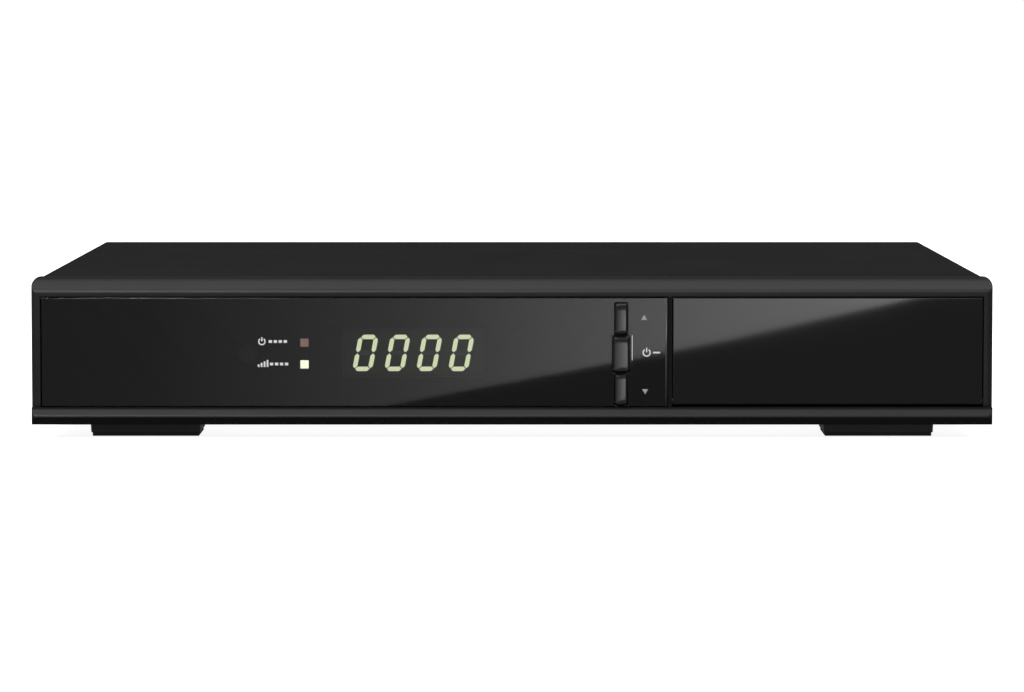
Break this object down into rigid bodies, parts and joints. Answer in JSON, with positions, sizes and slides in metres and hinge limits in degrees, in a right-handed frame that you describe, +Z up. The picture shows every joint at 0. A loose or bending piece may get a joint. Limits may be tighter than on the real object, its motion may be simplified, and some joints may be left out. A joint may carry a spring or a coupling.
{
  "type": "satellite television receiver",
  "caption": "Low set-top receiver with a glossy black front, lit four-digit display, push keys, drop-down card door, folded steel cover and rear sockets.",
  "frame": {"origin": "on the table below the middle of the set's bounding box", "axes": "+Z up, the front faces -Y, +X to the right seen from the front"},
  "size_m": [0.26, 0.202, 0.044],
  "materials": {
    "bezel_plastic": "satin moulded black",
    "window_gloss": "polished smoked black",
    "key_plastic": "polished black",
    "plunger_plastic": "natural nylon",
    "switch_case": "moulded black",
    "board_green": "solder resist",
    "board_tan": "phenolic board",
    "zinc_steel": "zinc plated",
    "display_case": "smoked filter",
    "display_light": "lit segment",
    "pipe_clear": "clear",
    "lamp_chip": "clear lens",
    "eye_plastic": "dark infrared filter",
    "cover_paint": "fine matt black paint",
    "panel_paint": "matt black paint",
    "screw_black": "black oxide",
    "foot_plastic": "moulded black",
    "foot_rubber": "matt",
    "foil_polymer": "black film",
    "scart_plastic": "moulded black",
    "nickel": "nickel plated",
    "tin_plate": "tin plated",
    "jack_plastic": "moulded black",
    "yellow_plastic": "moulded yellow",
    "white_plastic": "moulded white",
    "red_plastic": "moulded red",
    "insulator_white": "natural polymer",
    "inlet_plastic": "moulded black",
    "rocker_plastic": "moulded black",
    "chip_black": "epoxy package",
    "aluminium": "extruded, as drawn",
    "capacitor_sleeve": "shrink sleeve",
    "ferrite": "ground ferrite",
    "winding_tape": "polyester tape",
    "copper_winding": "enamelled wire",
    "fuse_glass": "plated caps and glass",
    "lead_sleeve": "insulation",
    "plug_white": "natural nylon",
    "ribbon_film": "flat cable"
  },
  "bodies": {
    "case": {"front_bezel": "bezel_plastic", "front_window": "window_gloss", "key_switches": "switch_case", "front_board": "board_green", "front_board_screws": "zinc_steel", "display_module": "display_case", "display_segments": "display_light", "light_pipes": "pipe_clear", "status_lamps": "lamp_chip", "infrared_receiver": "eye_plastic", "chassis_tray": "zinc_steel", "rear_panel": "panel_paint", "top_cover": "cover_paint", "cover_screws": "screw_black", "feet": "foot_plastic", "foot_pads": "foot_rubber", "main_board": "board_green", "power_board": "board_tan", "card_board": "board_green", "board_standoffs": "zinc_steel", "board_screws": "zinc_steel", "insulating_sheet": "foil_polymer", "scart_socket": "scart_plastic", "tuner_can": "tin_plate", "lnb_barrels": "nickel", "lnb_nuts": "nickel", "jack_block": "jack_plastic", "video_jack_collar": "yellow_plastic", "left_audio_jack_collar": "white_plastic", "right_audio_jack_collar": "red_plastic", "jack_shells": "nickel", "socket_insulators": "insulator_white", "hdmi_socket": "tin_plate", "ethernet_jack": "jack_plastic", "mains_inlet": "inlet_plastic", "inlet_pins": "nickel", "rocker_frame": "inlet_plastic", "card_reader": "tin_plate", "front_usb_socket": "tin_plate", "processor": "chip_black", "heat_sink": "aluminium", "memory_chips": "chip_black", "power_heat_sink": "aluminium", "bulk_capacitor": "capacitor_sleeve", "small_capacitors": "capacitor_sleeve", "transformer_core": "ferrite", "transformer_winding": "winding_tape", "line_filter": "copper_winding", "fuse": "fuse_glass", "power_harness": "lead_sleeve", "wire_plugs": "plug_white", "front_ribbon": "ribbon_film"},
    "door": {"card_door": "window_gloss"},
    "up_key": {"up_button": "key_plastic", "up_switch_plunger": "plunger_plastic"},
    "power_key": {"power_button": "key_plastic", "power_switch_plunger": "plunger_plastic"},
    "down_key": {"down_button": "key_plastic", "down_switch_plunger": "plunger_plastic"},
    "rocker": {"power_rocker": "rocker_plastic"}
  },
  "joints": [
    {"name": "door_hinge", "type": "hinge", "parent": "case", "child": "door", "pos_m": [0.08535, -0.098, 0.0104], "axis": [1, 0, 0], "range_deg": [0, 90]},
    {"name": "up_key_press", "type": "slide", "parent": "case", "child": "up_key", "axis": [0, 1, 0], "range_m": [0, 0.0004], "stiffness_N_per_m": 800},
    {"name": "power_key_press", "type": "slide", "parent": "case", "child": "power_key", "axis": [0, 1, 0], "range_m": [0, 0.0004], "stiffness_N_per_m": 800},
    {"name": "down_key_press", "type": "slide", "parent": "case", "child": "down_key", "axis": [0, 1, 0], "range_m": [0, 0.0004], "stiffness_N_per_m": 800},
    {"name": "rocker_pivot", "type": "hinge", "parent": "case", "child": "rocker", "pos_m": [0.081, 0.0893, 0.024], "axis": [1, 0, 0], "range_deg": [0, 20]}
  ]
}
